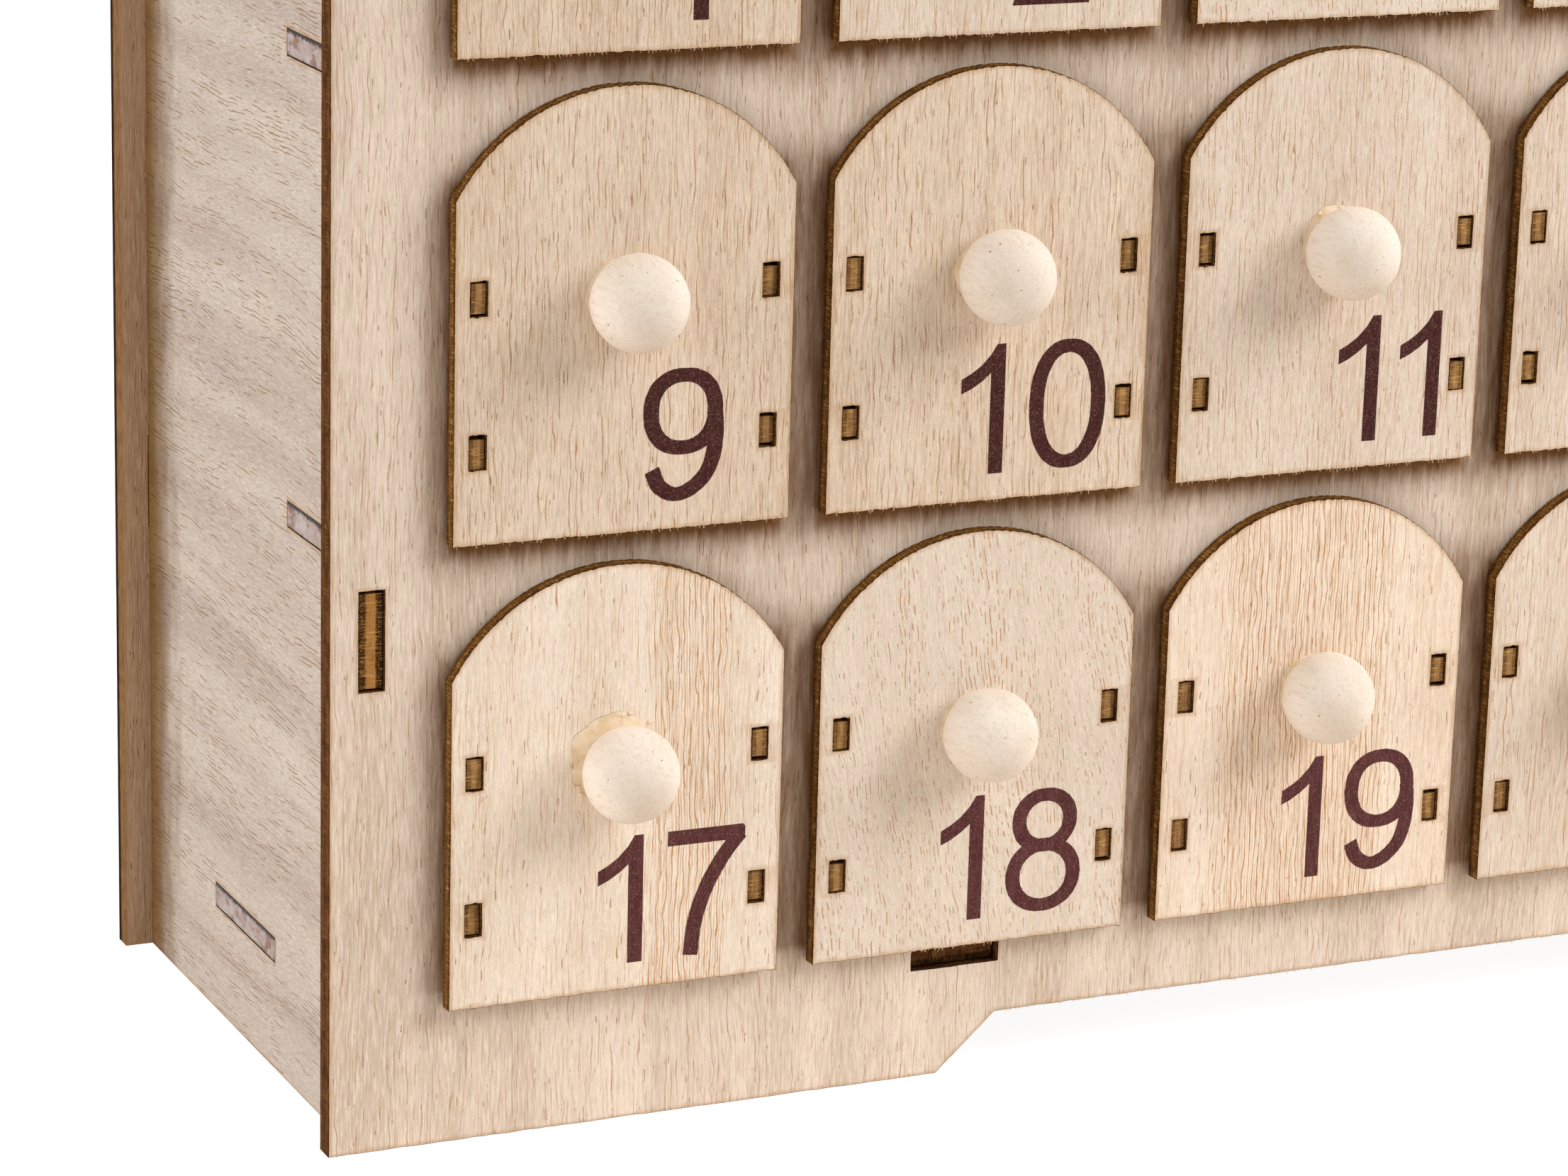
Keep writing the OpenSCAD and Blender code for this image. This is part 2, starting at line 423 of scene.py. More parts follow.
FLOAT, COLOUR, VECTOR = "NodeSocketFloat", "NodeSocketColor", "NodeSocketVector"


def new_effect(name, inputs, outputs):
    """An effect that several finishes share, with its named inputs and outputs."""
    group = bpy.data.node_groups.new(name, "ShaderNodeTree")
    for way, sockets in (("INPUT", inputs), ("OUTPUT", outputs)):
        for kind, labels in sockets.items():
            for label in labels:
                group.interface.new_socket(label, in_out=way, socket_type=kind)
    recipe = Recipe(group)
    return recipe, recipe.named("NodeGroupInput")


def close_effect(recipe, **outputs):
    recipe.add("NodeGroupOutput", outputs)
    return recipe.tree


def place_effect(recipe, group, **inputs):
    inputs = {label.replace("_", " "): value for label, value in inputs.items()}
    return recipe.named("ShaderNodeGroup", inputs, node_tree=group)


def dashes(recipe, sheet, columns, half_width, dash, limits, more):
    """Dark dashes in wavering columns along the fibres: so many columns and dashes to a millimetre."""
    along, across, depth = sheet.split()
    waver = sheet.mottle(0.25, 0.55, 0.5, 2.0) - 0.5
    across = across * columns + waver * 1.6
    column = across.sum("FLOOR")
    off = abs(across - column - 0.5)
    # Each column has its dashes in other places
    place = recipe.join(along * dash + column * 13.7, column * 5.3, depth)
    strength = place.mottle(1.0, 1.0, 0.3, 2.0) + more
    return strength.step(*limits) * off.step(half_width, half_width * 0.4)


def veneer_effect():
    """Peeled veneer: broad tone bands, torn fibre lines at two scales, open pores and fine fuzz."""
    inputs = {
        VECTOR: ["Sheet"], COLOUR: ["Pale", "Shade", "Line", "Pore"],
        FLOAT: ["Lines", "Fuzz", "Pores", "Pore Dash", "Wave", "Slant", "Rift Place",
                "Rift Width", "Rift"]}
    recipe, given = new_effect("veneer", inputs, {COLOUR: ["Color"], FLOAT: ["Height"]})

    # The fibres drift a little from side to side
    along, across, depth = given["Sheet"].split()
    drift = (given["Sheet"].mottle(0.03, 0.07, 0.1, 2.0) - 0.5) * given["Wave"]
    side = across + (drift + along * given["Slant"])
    sheet = recipe.join(along, side, depth)

    band = sheet.mottle(0.008, 0.15, 0.05, 2.0).step(0.34, 0.68)
    colour = recipe.mix(band, given["Pale"], given["Shade"])
    cloud = sheet.mottle(0.05, 0.12, 0.05, 2.0).step(0.3, 0.75)
    colour = recipe.mix(cloud * 0.35, colour, given["Shade"])

    # A rift is a strip of coarser, deeper lines
    off = abs(side - given["Rift Place"]) / given["Rift Width"]
    rift = off.step(1.05, 0.6) * given["Rift"]

    soft = sheet.mottle(0.3, 3.4, 0.9, 2.0, 0.55)
    colour = recipe.mix(soft.step(0.5, 0.36) * 0.6, colour, given["Pale"])
    wide = dashes(recipe, sheet, 1.35, 0.105, 0.16, (0.46, 0.62), rift * 0.14)
    thin = dashes(recipe, sheet, 2.9, 0.18, 0.22, (0.47, 0.66), rift * 0.14)
    lines = wide + thin * 0.6 + soft.step(0.48, 0.7) * 0.35
    lines = lines * (given["Lines"] + rift * 0.4)
    colour = recipe.mix(lines, colour, given["Line"])

    fibre = sheet.mottle(0.8, 6.5, 2.0, 3.0, 0.65)
    speck = sheet.mottle(4.2, 7.5, 3.0, 2.0, 0.6)
    fine = fibre * 0.6 + speck * 0.4
    bright = (fine - 0.5) * given["Fuzz"] + 1.0
    grey = recipe.get("ShaderNodeCombineColor", {0: bright, 1: bright, 2: bright})
    colour = recipe.mix(1.0, colour, grey, "MULTIPLY")

    crowd = sheet.mottle(0.03, 0.3, 0.1).step(0.3, 0.7) * given["Pores"]
    pore = dashes(recipe, sheet, 2.1, 0.15, given["Pore Dash"], (0.62, 0.7), crowd)
    colour = recipe.mix(pore * 0.85, colour, given["Pore"])
    return close_effect(recipe, Color=colour, Height=fine - lines * 0.4 - pore * 0.7)


def scorch_effect():
    """The yellow halo and the dark line that the beam leaves on the face beside a cut."""
    inputs = {
        VECTOR: ["Sheet"], COLOUR: ["Color", "Halo", "Char"],
        FLOAT: ["Cut", "Halo Width", "Halo Amount", "Char Width"]}
    recipe, given = new_effect("beam_scorch", inputs, {COLOUR: ["Color"]})
    reach = given["Sheet"].mottle(0.35, 0.6, 0.2, 2.0) * 2.0 * given["Halo Width"]
    halo = (given["Cut"] / reach).step(1.0, 0.0) * given["Halo Amount"]
    colour = recipe.mix(halo, given["Color"], given["Halo"])
    reach = given["Sheet"].mottle(3.0, 5.0, 1.0, 2.0) * given["Char Width"] * 2.0
    char = (given["Cut"] / reach).step(1.1, 0.7)
    return close_effect(recipe, Color=recipe.mix(char, colour, given["Char"]))


def burnt_edge_effect():
    """Three plies in a burnt cut: the middle one shows its end grain, the outer ones are darker."""
    inputs = {
        VECTOR: ["Trace"], COLOUR: ["Core", "Outer", "Char", "Glint"], FLOAT: ["Rim", "Soot"]}
    recipe, given = new_effect("burnt_edge", inputs, {COLOUR: ["Color"], FLOAT: ["Height"]})
    trace = given["Trace"]
    waver = (trace.mottle(0.8, 0.0, 0.0, 2.0) - 0.5) * 0.16
    level = abs(trace.split()[1] + waver - 0.5)
    colour = recipe.mix(level.step(0.16, 0.24), given["Core"], given["Outer"])
    streak = trace.mottle(6.0, 1.2, 0.0, 3.0, 0.6)
    colour = recipe.mix(streak.step(0.5, 0.72), colour, given["Glint"])
    blotch = trace.mottle(0.35, 2.5, 0.0, 3.0, 0.6)
    colour = recipe.mix(blotch.step(0.42, 0.66) * given["Soot"], colour, given["Char"])
    speck = trace.mottle(9.0, 14.0, 0.0, 2.0)
    colour = recipe.mix(speck.step(0.55, 0.7) * 0.6, colour, given["Glint"])
    colour = recipe.mix(level.step(0.42, 0.48) * given["Rim"], colour, given["Char"])
    return close_effect(recipe, Color=colour, Height=streak + speck * 0.6)


VENEER = veneer_effect()
SCORCH = scorch_effect()
BURNT_EDGE = burnt_edge_effect()


def new_material(name):
    material = bpy.data.materials.new(name)
    material.use_nodes = True
    material.node_tree.nodes.clear()
    return Recipe(material.node_tree, material)


def close_surface(recipe, colour, roughness, shine, height=None, relief=0.0):
    """The shader itself, with its plain numbers on its own sockets."""
    inputs = {"Base Color": colour, "Roughness": roughness, "Specular IOR Level": shine}
    if height is not None:
        inputs["Normal"] = recipe.get("ShaderNodeBump", {"Height": height, "Distance": relief * MM})
    surface = recipe.get("ShaderNodeBsdfPrincipled", inputs)
    recipe.add("ShaderNodeOutputMaterial", {"Surface": surface})
    return recipe.material


USUAL_VENEER = dict(
    Lines=0.6, Fuzz=0.5, Pores=0.03, Pore_Dash=0.5, Wave=2.0, Slant=0.0, Rift_Place=0.0,
    Rift_Width=1.0, Rift=0.0)


def veneer_finish(name, pale, shade, line, pore, relief=0.04, smoke=0.0, dirt=0.0, **numbers):
    recipe = new_material(name)
    sheet = recipe.note("sheet")
    wood = place_effect(
        recipe, VENEER, Sheet=sheet, Pale=pale, Shade=shade, Line=line, Pore=pore,
        **{**USUAL_VENEER, **numbers})
    colour = place_effect(
        recipe, SCORCH, Color=wood["Color"], Sheet=sheet, Cut=recipe.note("cut", "Fac"),
        Halo="#b98a50", Char="#3c2410", Halo_Width=0.7, Halo_Amount=0.5, Char_Width=0.06)["Color"]
    # Painted shade: darker in the gaps between the plates and under the upper rows, streaked with the
    # grain
    if smoke:
        streak = sheet.mottle(0.12, 0.9, 0.3, 3.0, 0.6) * 0.7 + 0.27
        share = (recipe.note("smoke", "Fac") * streak).step(0.0, 0.5) * smoke
        colour = recipe.mix(share, colour, "#8f6f4d", "MULTIPLY")
    if dirt:
        # Painted shade and brown bounce from the back board, with some dirt: brown along the rear, in
        # tongues that reach 9 mm and more
        ahead = (side_back - recipe.object_place().split()[1]) / MM
        reach = sheet.mottle(0.25, 0.06, 0.3, 3.0, 0.6) * 16.0 + 9.0
        colour = recipe.mix((ahead / reach).step(1.0, 0.2) * dirt, colour, "#98794d", "MULTIPLY")
    return close_surface(recipe, colour, 0.7, 0.08, wood["Height"], relief)


def edge_finish(name, core, outer, char, glint, soot):
    recipe = new_material(name)
    edge = place_effect(
        recipe, BURNT_EDGE, Trace=recipe.note("trace"), Core=core, Outer=outer, Char=char,
        Glint=glint, Rim=0.8, Soot=soot)
    return close_surface(recipe, edge["Color"], 0.55, 0.0, edge["Height"], 0.04)


def back_edge_finish():
    """The rear board's edge: clean brown wood, charred only along its rear corner."""
    recipe = new_material("back_board_edge")
    trace = recipe.note("trace")
    streak = trace.mottle(0.5, 3.0, 0.0, 3.0, 0.6)
    colour = recipe.mix(streak.step(0.3, 0.7), "#98744f", "#7f5e3f")
    waver = trace.mottle(0.5, 0.0, 0.0, 2.0) * 0.2
    char = (trace.split()[1] + waver).step(0.68, 0.84)
    return close_surface(recipe, recipe.mix(char, colour, "#33221a"), 0.6, 0.0, streak, 0.04)


def sanded_end_finish():
    """Tab ends sanded flush with the side: grey-lilac end grain with smears of pale glue."""
    recipe = new_material("sanded_tab_end")
    trace = recipe.note("trace")
    depth = trace.split()[1]
    smear = trace.mottle(0.35, 1.6, 0.0, 3.0, 0.6)
    colour = recipe.mix(smear.step(0.35, 0.6), "#bfb3b4", "#ad9b94")
    scratch = trace.mottle(5.0, 0.8, 0.0, 3.0, 0.65)
    colour = recipe.mix(scratch.step(0.5, 0.72), colour, "#8f7a75")
    stain = trace.mottle(0.3, 1.5, 3.0, 3.0, 0.65)
    colour = recipe.mix(stain.step(0.47, 0.62) * 0.85, colour, "#7f5b47")
    # A ragged dark gap over the tab, partly the scorched edge of the slot and partly painted shade in
    # the gap, and a thin dark line under it
    scorched_shaded_gap = depth + trace.mottle(4.5, 0.9, 0.0, 3.0, 0.7) * 0.6
    colour = recipe.mix(scorched_shaded_gap.step(1.13, 1.19), colour, "#231b1c")
    colour = recipe.mix(depth.step(0.07, 0.0), colour, "#33261f")
    return close_surface(recipe, colour, 0.6, 0.3, scratch, 0.03)


def knob_finish():
    """Turned pale hardwood: end grain at the front, faint warm patches and a few dark pits."""
    recipe = new_material("turned_pale_wood")
    turned = recipe.note("turned")
    cloud = turned.mottle(0.16, 0.1, 0.16, 3.0, 0.55)
    colour = recipe.mix(cloud.step(0.35, 0.7), "#efe5da", "#e6dacc")
    ray = turned.mottle(2.6, 0.25, 2.6, 3.0, 0.6)
    colour = recipe.mix(ray.step(0.45, 0.75) * 0.5, colour, "#d6c1a4")
    pit = turned.mottle(1.9, 1.9, 1.9)
    colour = recipe.mix(pit.step(0.755, 0.79) * 0.8, colour, "#84603c")
    speck = turned.mottle(7.0, 5.0, 7.0, 2.0)
    colour = recipe.mix(speck.step(0.5, 0.8) * 0.35, colour, "#c4b094")
    return close_surface(recipe, colour, 0.55, 0.2, ray * 0.5 - pit.step(0.74, 0.79), 0.04)


def ink_finish(name, deep, thin):
    """Red-brown ink that the wood has soaked up, with tiny bare specks."""
    recipe = new_material(name)
    sheet = recipe.note("sheet")
    cloud = sheet.mottle(0.5, 2.5, 1.0, 3.0, 0.6)
    speck = sheet.mottle(6.0, 8.0, 1.0, 2.0, 0.6)
    colour = recipe.mix(cloud.step(0.35, 0.7), deep, thin)
    colour = recipe.mix(speck.step(0.58, 0.7) * 0.6, colour, "#b08f88")
    return close_surface(recipe, colour, 0.6, 0.05, speck, 0.03)


def glue_finish():
    recipe = new_material("clear_glue")
    cloud = recipe.note("turned").mottle(0.8, 0.8, 0.8, 2.0)
    colour = recipe.mix(cloud.step(0.35, 0.7), "#eddabe", "#e3c9a3")
    return close_surface(recipe, colour, 0.22, 0.35, cloud, 0.14)


def fibre_finish():
    recipe = new_material("torn_fibre")
    tone = recipe.object_place().mottle(900.0, 900.0, 900.0)
    colour = recipe.mix(tone.step(0.35, 0.65), "#f0dfc6", "#c99f68")
    return close_surface(recipe, colour, 0.6, 0.3)


# The wood of each board, from the paler lower rows to the greyer case

side_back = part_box("left_side")[1].y

WOODS = {
    name: veneer_finish("veneer_" + name, *colours.split(), **numbers)
    for name, colours, numbers in (
        ("fine", "#e8dccd #ddccbb #c0946a #a97c50", dict(Lines=0.75, Fuzz=1.0, Pores=0.02)),
        ("warm", "#e7d7c4 #d9c5ae #b48a62 #9c6f40", dict(Lines=0.8, Fuzz=1.0, Pores=0.02)),
        ("short_pores", "#e8dcce #e2d4c4 #d0aa80 #bd8650", dict(
            Lines=0.35, Fuzz=1.0, Pores=0.16, Pore_Dash=0.8, Wave=6.0, Slant=0.14)),
        ("ribbed", "#f8ead9 #eedbc6 #c08a52 #a9763f", dict(
            Lines=0.4, Fuzz=0.8, Pores=0.02, Wave=1.5, Rift_Place=19.0, Rift_Width=14.0,
            Rift=1.0, relief=0.06)),
        ("rifted", "#f5e9da #ecddcb #cb965a #b07b44", dict(
            Lines=0.5, Fuzz=0.8, Pores=0.015, Rift_Place=28.5, Rift_Width=6.0, Rift=1.0,
            relief=0.06)),
        ("case_front", "#f0e2d3 #d8c8b7 #bd946d #a77d55", dict(
            Lines=0.7, Fuzz=0.7, Pores=0.02, Wave=3.0, smoke=1.0)),
        ("case_side", "#d2c7bc #bdafa6 #af9675 #96703f", dict(
            Lines=0.35, Fuzz=1.6, Pores=0.15, Pore_Dash=0.25, Wave=4.0, dirt=1.0)),
        ("case_back", "#d2b69b #b99a7d #9c7a58 #7a5736", dict(Lines=0.6, Fuzz=0.6)),
        ("case_inner", "#e8d4bc #dbc3a8 #bb9a77 #966f48", dict(Lines=0.6, Fuzz=0.5)))
}
PLATE_EDGE, CASE_EDGE, TAB_EDGE, BOX_EDGE, SHADED_SLOT_EDGE = (
    edge_finish(name, *colours.split(), soot) for name, colours, soot in (
        ("burnt_plate_edge", "#7a5025 #5a3a1a #27160a #c09355", 0.6),
        ("burnt_case_edge", "#5b3a24 #6a4529 #2a180e #8c6238", 0.6),
        ("burnt_tab_end", "#ab7a44 #3f2716 #160c06 #d09d5c", 0.25),
        ("burnt_box_edge", "#a07b4e #785636 #1b0f08 #d8a96a", 0.35),
        # The top and bottom boards' edges, mostly seen as tab ends deep in the front board's slots:
        # charred, and darker still as painted shade of those slots
        ("charred_tab_end_with_painted_shade", "#674325 #382214 #120b06 #8f6c3f", 0.6)))
BACK_EDGE = back_edge_finish()
SANDED_END = sanded_end_finish()
KNOB_WOOD = knob_finish()
FULL_INK = ink_finish("full_ink", "#40201d", "#4c2b28")
THIN_INK = ink_finish("thin_ink", "#512c2c", "#623b3b")
GLUE = glue_finish()
FIBRE = fibre_finish()


# The case

# How far back from its end a tab's long sides are trimmed, about the thickness of the board it is in
CASE_TAB = 2.85
BOX_TAB = 1.95
# How far behind the plate's face the tabs of a box end, from and to
BOX_RECESS = (0.1, 0.5)
TRIM_LOW = (0.0, 0.35)
TRIM_HIGH = (0.1, 0.45)
# How far behind the front panel's face the tabs of a board end, from and to
FRONT_TABS = {
    "left_side": (0.3, 0.5), "right_side": (0.3, 0.5), "bottom_panel": (0.7, 1.1),
    "top_panel": (0.4, 0.9),
}
# Painted shade on the front board, darkest next to the windows, for the shadows between and under the
# plates
GAP_SHADE_RINGS = CUT_RINGS + (2.2, 3.4, 5.5)
GAP_SHADE_REACH = 2.6
# The painted shade sets in over this height above the lowest sills, and the sills are clean this far
# down
GAP_SHADE_RISE = 2.0
CLEAN_SILL = 1.2
# A corner this little over a lowest sill still belongs to it
SILL_ROOM = 0.1
# The areas that a window may have, with the turn that marks a hole
WINDOW_AREAS = (-5000, -500)
# Two windows of the lowest row run on into slots, so the sills are read from a later one
PLAIN_WINDOW = 4


def shorten_tabs(solid, rng, reach, recess):
    """Tabs that end a little behind the face they come through, in a slot that is a little taller."""
    deep = ACROSS_OF[solid["thin"]].index(1)
    wide = 1 - deep
    front = solid["low"].y
    outline = max(solid["outlines"], key=area_of)
    ends = [spot for spot in outline if abs(spot[deep] - front) < NEAR]
    places = sorted({round(spot[wide], 2) for spot in ends})
    for low, high in zip(places[::2], places[1::2]):
        back = rng.uniform(*recess)
        trim_low, trim_high = rng.uniform(*TRIM_LOW), rng.uniform(*TRIM_HIGH)
        for spot in outline:
            if spot[deep] < front + reach:
                if abs(spot[wide] - low) < 2 * NEAR:
                    spot[wide] += trim_low
                elif abs(spot[wide] - high) < 2 * NEAR:
                    spot[wide] -= trim_high
        for spot in ends:
            if low - 2 * NEAR < spot[wide] < high + 2 * NEAR:
                spot[deep] += back


def measure_smoke(stock, solid):
    """How much painted shade each corner gets from the windows on both sides: it stands in for the
    shadows in the gaps between the plates and under them.
    """
    windows = [
        window for window in solid["outlines"]
        if WINDOW_AREAS[0] < area_of(window) < WINDOW_AREAS[1]]
    boxes = [[pick(spot[i] for spot in window) for i in (1, 0) for pick in (min, max)]
             for window in windows]
    sill = sorted(low for left, right, low, high in boxes)[PLAIN_WINDOW]
    for i, corner in enumerate(stock.corners):
        x, z = corner.x, corner.z
        offs = [
            math.hypot(max(left - x, 0, x - right), max(low - z, 0, z - high))
            for left, right, low, high in boxes]
        smoke = sum(math.exp(-off / GAP_SHADE_REACH) for off in offs)
        stock.notes["smoke"].append(smoke * min(1.0, max(0.0, (z - sill) / GAP_SHADE_RISE)))
        if z < sill + SILL_ROOM and min(offs) < CLEAN_SILL:
            stock.notes["cut"][i] = CUT_RINGS[-1]


def case_board(node, name, wood, grain, seed, step=1.1, torn=0.05, sanded=None, edge=CASE_EDGE):
    rng = random.Random(seed)
    stock = Stock()
    rings = GAP_SHADE_RINGS if wood == "case_front" else CUT_RINGS
    for solid in read_solids(node):
        if node in FRONT_TABS:
            shorten_tabs(solid, rng, CASE_TAB, FRONT_TABS[node])
        add_board(stock, solid, grain, rng, step, torn, rings, sanded)
        if wood == "case_front":
            measure_smoke(stock, solid)
    materials = [WOODS[wood], edge, SANDED_END]
    finish_boards(name, stock, materials, "case", node)
    return stock


def is_side_end(middle):
    return abs(middle.x) > side_face


side_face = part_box("right_side")[1].x / MM - 0.2

front_stock = case_board("front_panel", "front_board", "case_front", 2, 11, torn=0.07)
case_board("back_panel", "back_board", "case_back", 2, 12, step=1.6, edge=BACK_EDGE)
case_board("left_side", "left_board", "case_side", 1, 13, edge=TAB_EDGE)
case_board("right_side", "right_board", "case_side", 1, 14, edge=TAB_EDGE)
case_board("bottom_panel", "bottom_board", "case_inner", 0, 15, 2.0, sanded=is_side_end, edge=SHADED_SLOT_EDGE)
case_board("top_panel", "top_board", "case_inner", 0, 16, 2.0, sanded=is_side_end, edge=SHADED_SLOT_EDGE)
case_board("lower_shelf", "lower_shelf_board", "case_inner", 0, 17, 2.5, sanded=is_side_end)
case_board("upper_shelf", "upper_shelf_board", "case_inner", 0, 18, 2.5, sanded=is_side_end)
case_board("column_dividers", "divider_boards", "case_inner", 2, 19, 2.5)


# The drawers

DRAWERS = range(1, 25)
PLATE_WOOD_OF = {
    1: "warm", 2: "fine", 3: "short_pores", 9: "warm", 10: "warm", 11: "fine", 12: "fine",
    17: "rifted", 18: "short_pores", 19: "ribbed", 20: "fine",
}
WOOD_ORDER = ["fine", "warm", "short_pores", "ribbed", "fine", "rifted", "warm"]


def make_plate(number, name, plate):
    stock = Stock()
    add_board(stock, plate, 2, random.Random(100 + number), step=0.45, torn=0.11)
    wood = WOODS[PLATE_WOOD_OF.get(number, WOOD_ORDER[number % len(WOOD_ORDER)])]
    finish_boards(f"{name}_plate", stock, [wood, PLATE_EDGE], name, f"{name}_front")
    return stock


def make_box(number, name):
    """The box behind a plate. Its front tabs stop a little short of the plate's face."""
    rng = random.Random(200 + number)
    stock = Stock()
    for solid in read_solids(f"{name}_box"):
        if solid["thin"] == 0:
            shorten_tabs(solid, rng, BOX_TAB, BOX_RECESS)
        add_board(stock, solid, 0 if solid["thin"] == 1 else 1, rng, 1.8, 0.03, CUT_RINGS[1:])
    finish_boards(f"{name}_box_boards", stock, [WOODS["fine"], BOX_EDGE], name, f"{name}_box")


# Knobs, and the glue that has crept out from under them

KNOB_SIDES = 72
KNOB_RINGS = 36
# How deep the flats may be that sanding leaves, as a share of the radius
KNOB_FLATS = 0.0175
GLUE_SIDES = 96
GLUE_RINGS = 7
# How far the glue runs in under the ball, and laps up its side, before it comes out
GLUE_UNDER = 0.5
GLUE_LAP = 0.15
# Its least reach, how thick the film is, and what the lumps in it add
GLUE_LEAST = 0.18
GLUE_FILM = 0.03
GLUE_LUMPS = 0.1
# How far the glue reaches, where it reaches furthest, and how much of the way round it does so.
# Angles run from the right, upwards.
GLUE_OF = {
    1: (0.5, 200, 60), 9: (0.45, 150, 70), 10: (0.6, 175, 40), 11: (1.0, 118, 42),
    17: (2.4, 128, 78), 18: (0.35, 180, 60), 19: (0.4, 140, 50),
}
# Glue that reaches further than this has bubbles
BUBBLES_FROM = 0.9
BUBBLES_TO_MM = 9
BUBBLE_RINGS = 5
BUBBLE_SIDES = 10


def way_out(turn, lean=math.pi / 2):
    """From the middle of a knob, turned about its axis and leaning away from its front."""
    return Vector((
        math.sin(lean) * math.cos(turn), -math.cos(lean), math.sin(lean) * math.sin(turn)))


def middle_of(ball):
    radius = (ball["high"].x - ball["low"].x) / 2
    middle = (ball["low"] + ball["high"]) / 2
    middle.y = ball["low"].y + radius
    return middle, radius


def mottled(place):
    """A number from 0 to 1 that changes slowly from place to place."""
    return 0.5 + 0.5 * noise.noise(place)


def lace_rings(first, rings, sides):
    """The faces of a round shape whose corners follow each other ring by ring."""
    faces = []
    for row in range(first, first + (rings - 1) * sides, sides):
        for side in range(sides):
            a, b = row + side, row + (side + 1) % sides
            faces.append((a, a + sides, b + sides, b))
    return faces


def make_knob(number, name, ball):
    """A turned ball with the slight flats that sanding leaves, cut flat where it meets the plate."""
    rng = random.Random(300 + number)
    middle, radius = middle_of(ball)
    flat_angle = math.acos((middle.y - ball["high"].y) / radius)
    shift = Vector([rng.uniform(0, 300) for _ in range(3)])
    corners = [Vector((0.0, -radius, 0.0))]
    for ring in range(1, KNOB_RINGS + 1):
        for side in range(KNOB_SIDES):
            way = way_out(math.tau * side / KNOB_SIDES, flat_angle * ring / KNOB_RINGS)
            dent = mottled(way * 1.7 + shift) if ring < KNOB_RINGS else 0.0
            corners.append(way * radius * (1.0 - KNOB_FLATS * dent))
    corners.append(Vector((0.0, -math.cos(flat_angle) * radius, 0.0)))
    faces = lace_rings(1, KNOB_RINGS, KNOB_SIDES)
    last_row = 1 + (KNOB_RINGS - 1) * KNOB_SIDES
    for side in range(KNOB_SIDES):
        after = (side + 1) % KNOB_SIDES
        faces.append((0, 1 + side, 1 + after))
        faces.append((len(corners) - 1, last_row + after, last_row + side))
    piece = make_piece(
        f"{name}_knob", [corner + middle for corner in corners], faces, [KNOB_WOOD],
        crease=35.0, turned=[corner + shift for corner in corners])
    settle(piece, name, f"{name}_front")


def make_glue(number, name, plate, ball):
    """A skin of glue round the foot of a knob, thick beside the ball and thin at its own edge."""
    rng = random.Random(500 + number)
    reach, centre, spread = GLUE_OF.get(number, (rng.uniform(0.3, 0.8), rng.uniform(0, 360), 60))
    middle, radius = middle_of(ball)
    level = plate["low"].y
    foot = math.sqrt(radius ** 2 - (level - middle.y) ** 2)
    middle.y = level
    corners = []
    for side in range(GLUE_SIDES):
        turn = math.tau * side / GLUE_SIDES
        way = way_out(turn)
        off = (math.degrees(turn) - centre + 180) % 360 - 180
        bulge = math.exp(-(off / spread) ** 2)
        ripple = mottled(way * 2.6 + Vector((number * 7.0, 0, 0)))
        width = GLUE_LEAST + reach * bulge * (0.55 + 0.9 * ripple)
        corners.append(middle + way * (foot - GLUE_UNDER))
        for ring in range(GLUE_RINGS + 1):
            share = ring / GLUE_RINGS
            out = foot - GLUE_LAP + (width + GLUE_LAP) * share
            rough = mottled(Vector((way.x, way.z, 0)) * out * 1.3)
            swell = math.sin(math.pi * min(1.0, share + 0.25))
            film = GLUE_FILM + GLUE_LUMPS * rough * min(1.0, width) * swell
            climb = (0.16 + 0.12 * width) * (1 - share) ** 2
            spot = middle + way * out
            spot.y = level - (film + climb if ring < GLUE_RINGS else 0.0)
            corners.append(spot)
    rows = GLUE_RINGS + 2
    faces = []
    for side in range(GLUE_SIDES):
        here, after = side * rows, (side + 1) % GLUE_SIDES * rows
        for row in range(rows):
            up = (row + 1) % rows
            faces.append((here + row, here + up, after + up, after + row))
    if reach > BUBBLES_FROM:
        add_bubbles(corners, faces, rng, middle, foot, reach, centre, spread)
    heart = (ball["low"] + ball["high"]) / 2
    turned = [corner - heart + Vector((number * 31.0, 0, 0)) for corner in corners]
    piece = make_piece(f"{name}_glue", corners, faces, [GLUE], crease=180.0, turned=turned)
    settle(piece, name)


def add_bubbles(corners, faces, rng, middle, foot, reach, centre, spread):
    for _ in range(int(BUBBLES_TO_MM * reach)):
        turn = math.radians(centre + rng.gauss(0, spread * 0.5))
        heart = middle + way_out(turn) * (foot + reach * rng.uniform(0.25, 0.95))
        heart.y = middle.y - 0.06
        size = rng.uniform(0.1, 0.3)
        first = len(corners)
        for ring in range(BUBBLE_RINGS + 1):
            for side in range(BUBBLE_SIDES):
                way = way_out(math.tau * side / BUBBLE_SIDES, math.pi * ring / BUBBLE_RINGS)
                way.y *= 0.6
                corners.append(heart + way * size)
        faces.extend(lace_rings(first, BUBBLE_RINGS + 1, BUBBLE_SIDES))


# Fibres that the saw has pulled out of the lower edges

